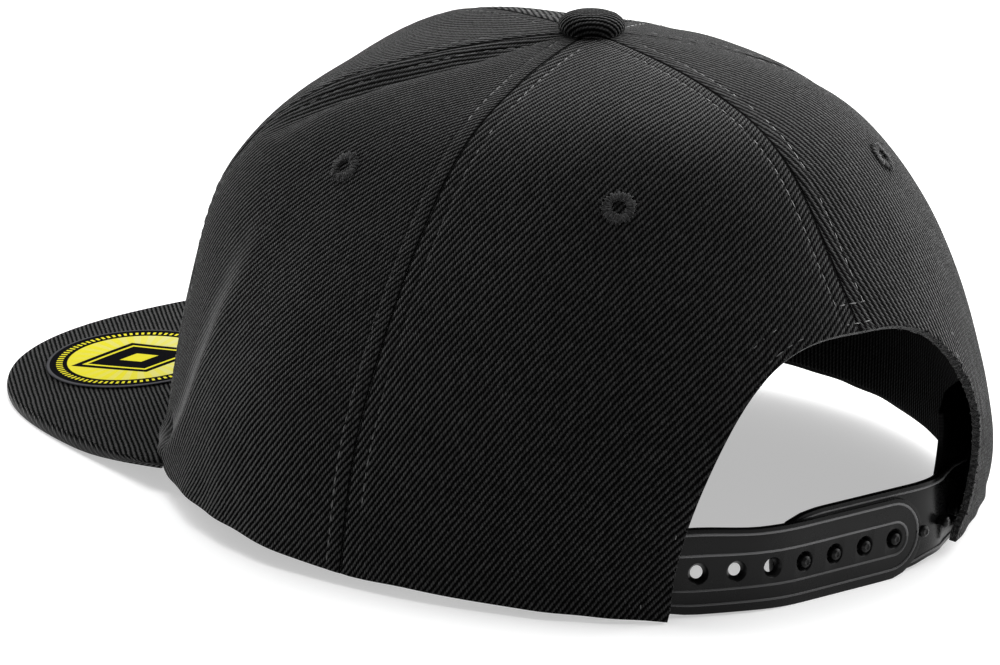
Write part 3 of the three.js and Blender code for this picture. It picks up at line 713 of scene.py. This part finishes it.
def eyelet(name, angle, share):
    out = Vector(crown_normal(angle, share))
    side = Vector((0, 0, 1)).cross(out).normalized()
    facing = Matrix((side, out.cross(side), out)).transposed().to_4x4()
    place = Matrix.Translation(crown(angle, share)) @ facing
    bm = bmesh.new()
    profile = [(1.55, -1.9), (1.6, -0.2), (1.8, 0.2), (2.4, 0.42), (2.9, 0.3), (3.3, 0.0), (3.45, -0.3),
               (1.9, -0.5)]
    lathe(bm, profile, 32, closed=True)
    bmesh.ops.recalc_face_normals(bm, faces=bm.faces)
    for k in range(EYELET_STITCHES):
        turn = Matrix.Rotation(math.tau * (k + chance.uniform(-0.35, 0.35)) / EYELET_STITCHES, 4, "Z")
        middle, length = chance.uniform(2.5, 2.85), chance.uniform(0.95, 1.45)
        lean = Matrix.Rotation(chance.uniform(0.0, 0.16), 4, "Y")
        lean = lean @ Matrix.Rotation(chance.uniform(-0.2, 0.2), 4, "Z")
        raised = Matrix.Translation((middle, 0, chance.uniform(0.2, 0.5)))
        bmesh.ops.create_uvsphere(bm, u_segments=8, v_segments=6, radius=1,
                                  matrix=turn @ raised @ lean @ Matrix.Diagonal((length, 0.3, 0.34, 1)))
    for _ in range(EYELET_FIBRES):
        turn = Matrix.Rotation(chance.uniform(0, math.tau), 4, "Z")
        lean = Matrix.Rotation(chance.uniform(-0.5, 0.5), 4, "Y")
        lean = lean @ Matrix.Rotation(chance.uniform(-0.9, 0.9), 4, "Z")
        raised = Matrix.Translation((chance.uniform(1.4, 4.2), 0, 0.6))
        fibre = Matrix.Diagonal((chance.uniform(0.4, 0.9), 0.045, 0.045, 1))
        bmesh.ops.create_uvsphere(bm, u_segments=4, v_segments=4, radius=1,
                                  matrix=turn @ raised @ lean @ fibre)
    bmesh.ops.transform(bm, matrix=place, verts=bm.verts)
    piece(name + "_sewn", bm, eyelet_thread, "eyelet_thread", name)


eyelet("left_side_eyelet", 89, 0.587)
eyelet("left_back_eyelet", 149, 0.602)
eyelet("right_back_eyelet", -153, 0.618)
eyelet("right_side_eyelet", -89, 0.587)

# The sweatband is a plain turned band of thinner ribbed cloth, sewn to the rim inside. It ends short of the
# cut-away, where it steps inward over the straps' tucked ends.
BAND_END, BAND_LOW, BAND_RISE, BAND_TALL, BAND_REACH = 153.5, 0.012, 0.203, 26, 92
BAND_DEPTH, BAND_OVER_STRAPS, BAND_THICK = 1.95, 6.8, 1.3
# Its black cloth is painted darker still, as shade inside the crown.
band_cloth = twill("band_cloth", (0.002, 0.002, 0.0021), 0.08, sheen=0)
bm, across, along = grid_of(150, 12)
angle, share = BAND_END * (2 * across - 1), BAND_LOW + BAND_RISE * along
depth = BAND_DEPTH + BAND_OVER_STRAPS * smooth(abs(angle), 132, 144) - 0.25 * np.sin(np.pi * along)
depth = depth - slump(angle, share) * smooth(abs(angle), 150, 142)
put(bm, crown(angle, share) - crown_normal(angle, share) * depth[:, None])
lay_cloth(bm, np.radians(angle) * BAND_REACH, along * BAND_TALL, RIB_ANGLE - 90)
face_outwards(bm, (0, SHIFT[1], 15))
thicken(piece("sweatband_cloth", bm, band_cloth, "sweatband_cloth", "sweatband"), BAND_THICK, 0.4)

# The snap strap is two tongues of satin black plastic, tucked in and sewn behind the back panels. The outer
# one has seven holes inside a moulded line, and the inner one carries seven pegs. The outer one's last four
# holes are pressed over the inner one's first four pegs.
STRAP_BOTTOM, STRAP_HEIGHT, STRAP_THICK, END_ROUND = 1.6, 18.2, 1.6, 8.6
PITCH, HOLE_RADIUS, HOLE_BACK, PEG_RADIUS, PEG_DEPTH = 8.75, 2.35, 1.4, 1.35, -1.9
HOLES = 35.1 - PITCH * np.arange(7)
PEGS = HOLES - 3 * PITCH
TUCKED = HOLES[0] + 22
HOLE_HEIGHT = STRAP_BOTTOM + STRAP_HEIGHT / 2
LINE_WIDTH, LINE_HEIGHT, OUTER_LINE_ROUND, INNER_LINE_ROUND, INNER_LINE_OFF = 0.6, 0.34, 7.5, 3.7, 3.75

plastic, plastic_surface, start = finish_of("strap_plastic", specular_ior_level=0.13)
spot = start.node("TexCoord", {}, {}, 3)
grain = start.node("TexNoise", {}, {"Vector": spot, "Scale": 2600.0, "Detail": 1.0})
smudge = start.node("TexNoise", {}, {"Vector": spot, "Scale": 60.0, "Detail": 3.0})
# Its raised lines are painted paler: a painted highlight.
painted_highlight = start.node("Attribute", {"attribute_name": "painted_highlight"}, {}, 2)
body = (grain * 0.3 + smudge * 0.7).mix((0.002, 0.002, 0.002, 1), (0.005, 0.005, 0.0052, 1))
start.tree.links.new(painted_highlight.mix(body, (0.12, 0.12, 0.122, 1)).socket, plastic_surface.inputs["Base Color"])
start.tree.links.new((0.18 + smudge * 0.14 + grain * 0.05).socket, plastic_surface.inputs["Roughness"])
bump = start.node("Bump", {}, {"Strength": 0.35, "Distance": 0.00004, "Height": grain})
start.tree.links.new(bump.socket, plastic_surface.inputs["Normal"])

# Seen from above the straps run from their middle, which is counted from the crown's own middle, with this
# heading in degrees at each station along them. They are flat where they lie on each other, and bend round
# the head at both ends.
STRAP_MIDDLE = (-0.9, 96.3)
STATION, HEADING = (-60, -44, -24, 12, 26, 60), (-43, -35, -2.5, -2.5, 17, 37)
WALK_STEP = 0.25
WALK = np.arange(-60, 60.01, WALK_STEP)


def heading(station):
    return np.radians(np.interp(station, STATION, HEADING))


def walked(step, start_at):
    run = np.concatenate([[0], np.cumsum(step * WALK_STEP)])
    return run - np.interp(0, WALK, run) + start_at


BETWEEN = (WALK[1:] + WALK[:-1]) / 2
WALK_X = walked(np.cos(heading(BETWEEN)), STRAP_MIDDLE[0])
WALK_Y = walked(-np.sin(heading(BETWEEN)), STRAP_MIDDLE[1])


def strap_line(station):
    """Where the hole strap's outer face runs, kept inside the panels at both ends."""
    x, y = np.interp(station, WALK, WALK_X), np.interp(station, WALK, WALK_Y)
    angle, reach = np.degrees(np.arctan2(x, -y)), np.hypot(x, y)
    walls = (crown(angle, s) - crown_normal(angle, s) * 2.05 - SHIFT for s in np.linspace(0.01, 0.24, 7))
    room = np.min([np.hypot(*wall[..., :2].T) for wall in walls], axis=0)
    held = np.where(180 - abs(angle) > ARCH_ANGLE - 3, np.minimum(1, room / reach), 1)
    return np.column_stack([x * held, y * held])


def bend_round(bm, depth):
    """Bends a strap that was made flat, as length, height and depth, round the back of the cap."""
    at = np.array([v.co for v in bm.verts])
    out = np.column_stack([np.sin(heading(at[:, 0])), np.cos(heading(at[:, 0]))])
    seen_from_above = strap_line(at[:, 0]) - out * (at[:, 2] + depth(at[:, 0]))[:, None]
    put(bm, np.column_stack([seen_from_above, at[:, 1]]) + SHIFT)
    bmesh.ops.recalc_face_normals(bm, faces=bm.faces)


def strap_plate(bm, stations, bottom, top, free, holes=()):
    """A flat strap with its outer face at depth 0, a rounded free end, and holes that are wider outside."""
    bmesh.ops.create_grid(bm, x_segments=len(stations) - 1, y_segments=4, size=1)
    for v in bm.verts:
        station = float(np.interp(v.co.x, np.linspace(-1, 1, len(stations)), stations))
        short = END_ROUND - min(abs(station - free), END_ROUND)
        inset = END_ROUND - math.sqrt(END_ROUND**2 - short**2)
        level = float(np.interp(v.co.y, np.linspace(-1, 1, 5), [0, 0.2, 0.5, 0.8, 1]))
        v.co = (station, bottom + inset + (top - bottom - 2 * inset) * level, 0)
    for hole in holes:
        centre = Vector((hole, HOLE_HEIGHT, 0))
        vert = min(bm.verts, key=lambda v: (v.co - centre).length)
        cut = bmesh.ops.bevel(bm, geom=[vert], offset=HOLE_RADIUS, offset_type="OFFSET", segments=1,
                              profile=0.5, affect="VERTICES", material=-1)
        ring = list(cut["faces"][0].edges)
        bmesh.ops.delete(bm, geom=cut["faces"], context="FACES_ONLY")
        bmesh.ops.subdivide_edges(bm, edges=ring, cuts=5)
        for v in bm.verts:
            if (v.co - centre).length < HOLE_RADIUS * 1.05:
                v.co = centre + (v.co - centre).normalized() * HOLE_RADIUS
    other = bmesh.ops.extrude_face_region(bm, geom=bm.faces[:])
    backs = [g for g in other["geom"] if isinstance(g, bmesh.types.BMVert)]
    for v in backs:
        for hole in holes:
            off = v.co - Vector((hole, HOLE_HEIGHT, 0))
            if off.length < HOLE_RADIUS * 1.05:
                v.co -= off * (1 - HOLE_BACK / HOLE_RADIUS)
    bmesh.ops.translate(bm, verts=backs, vec=(0, 0, STRAP_THICK))
    bmesh.ops.recalc_face_normals(bm, faces=bm.faces)
    sharp = [e for e in bm.edges if len(e.link_faces) == 2 and e.calc_face_angle() > 1]
    bmesh.ops.bevel(bm, geom=sharp, offset=0.3, offset_type="OFFSET", segments=2, profile=0.5,
                    affect="EDGES", clamp_overlap=True, material=-1)
    # A layer for the painted highlight on the moulded lines.
    bm.verts.layers.float.new("painted_highlight")


def moulded_line(bm, path):
    """A raised line on a strap's outer face, along a path of lengths and heights, painted paler as a
    highlight.
    """
    path = np.array(path, float)
    along = unit(np.gradient(path, axis=0))
    made = bmesh.ops.create_grid(bm, x_segments=len(path) - 1, y_segments=8, size=1)["verts"]
    layer = bm.verts.layers.float["painted_highlight"]
    for v in made:
        k, turn = round((v.co.x + 1) / 2 * (len(path) - 1)), math.pi * (v.co.y + 1)
        # The painted highlight is stronger on a line's upper run than on its lower one.
        v[layer] = 0.9 if path[k][1] > HOLE_HEIGHT else 0.5
        side, depth = LINE_WIDTH / 2 * math.cos(turn), 0.05 - LINE_HEIGHT * math.sin(turn)
        v.co = (path[k][0] - along[k][1] * side, path[k][1] + along[k][0] * side, depth)
    bmesh.ops.remove_doubles(bm, verts=made, dist=0.0005)


def round_the_end(start_at, end, low, high, radius, direction):
    """A path along a strap, round its free end and back."""
    corner = np.radians(np.linspace(0, 90, 9))
    inward = direction * radius
    top = [(end + inward * (1 - math.sin(c)), high - radius * (1 - math.cos(c))) for c in corner]
    foot = [(end + inward * (1 - math.cos(c)), low + radius * (1 - math.sin(c))) for c in corner]
    run = np.linspace(start_at, end + inward, 26)[:-1]
    return [(s, high) for s in run] + top + foot + [(s, low) for s in run[::-1]]


def settled(station):
    """How far the fastened part of both straps hangs below their tucked ends, in mm."""
    return 0.4 * smooth(-station, -26, -8)


# The hole strap. Beside the panel its upper edge stands a little higher. In the middle its lower edge hangs.
end, top, half = HOLES[-1] - 8, STRAP_BOTTOM + STRAP_HEIGHT, 9
around = sorted({round(h + d, 3) for h in HOLES for d in (-2.9, 0, 2.9)})
stations = [end + d for d in (0, 0.15, 0.55, 1.2, 2.1, 3.4)] + around + [*np.linspace(40.5, TUCKED, 7)]
bm = bmesh.new()
strap_plate(bm, stations, STRAP_BOTTOM, top, end, HOLES)
moulded_line(bm, round_the_end(TUCKED - 0.3, end + 1.1, STRAP_BOTTOM + 2.1, top - 1.1, OUTER_LINE_ROUND, 1))
moulded_line(bm, round_the_end(TUCKED - 0.3, HOLES[-1] - INNER_LINE_OFF, HOLE_HEIGHT - INNER_LINE_OFF,
                               HOLE_HEIGHT + INNER_LINE_OFF, INNER_LINE_ROUND, 1))
for v in bm.verts:
    station, off = v.co.x, (v.co.y - HOLE_HEIGHT) / half
    high, low = min(max(off, 0), 1), min(max(-off, 0), 1)
    hung = 0.2 * smooth(-station, -30, -12) * smooth(-station, 26, 12)
    v.co.y += high * smooth(station, 20, 36) + low * (0.7 * smooth(station, 36, 44) - hung)
    v.co.y -= settled(station)
bend_round(bm, lambda station: 0 * station)
piece("hole_strap_plastic", bm, plastic, "strap_plastic", "hole_strap")

# The peg strap lies behind it and a little higher. Each peg is blunt, with a small moulded ring on its end.
end = PEGS[0] + 7.4
stations = [-TUCKED, *np.linspace(-54, end - END_ROUND, 30),
            *(end - d for d in (4.6, 3.2, 2.1, 1.2, 0.55, 0.15, 0))]
bm = bmesh.new()
strap_plate(bm, stations, STRAP_BOTTOM + 0.4, top + 1.2, end)
moulded_line(bm, round_the_end(0.3 - TUCKED, end - 1.1, STRAP_BOTTOM + 1.5, top + 0.1, OUTER_LINE_ROUND, -1))
profile = [(0, -0.8), (0.5, -0.8), (0.58, -0.88), (0.72, -0.88), (0.8, -0.8), (PEG_RADIUS - 0.15, -0.7),
           (PEG_RADIUS, -0.5), (PEG_RADIUS, 0.3), (1.1, 0.6), (1.1, 2.3), (0, 2.3)]
for station in PEGS:
    lathe(bm, profile, 20, centre=(station, HOLE_HEIGHT, PEG_DEPTH))
for v in bm.verts:
    corner = 0.7 * smooth(v.co.x, 2, 11) * smooth(v.co.y, HOLE_HEIGHT + 3, HOLE_HEIGHT + 8)
    v.co.y -= settled(v.co.x) + corner
    v.co.y += 1.3 * smooth(-v.co.x, 22, 32) * smooth(-v.co.y, -HOLE_HEIGHT, 8 - HOLE_HEIGHT)
bend_round(bm, lambda station: 1.95 + 0.85 * smooth(-station, 30, 42) - 1.6 * smooth(-station, 46, 53))
piece("peg_strap_plastic", bm, plastic, "strap_plastic", "peg_strap")
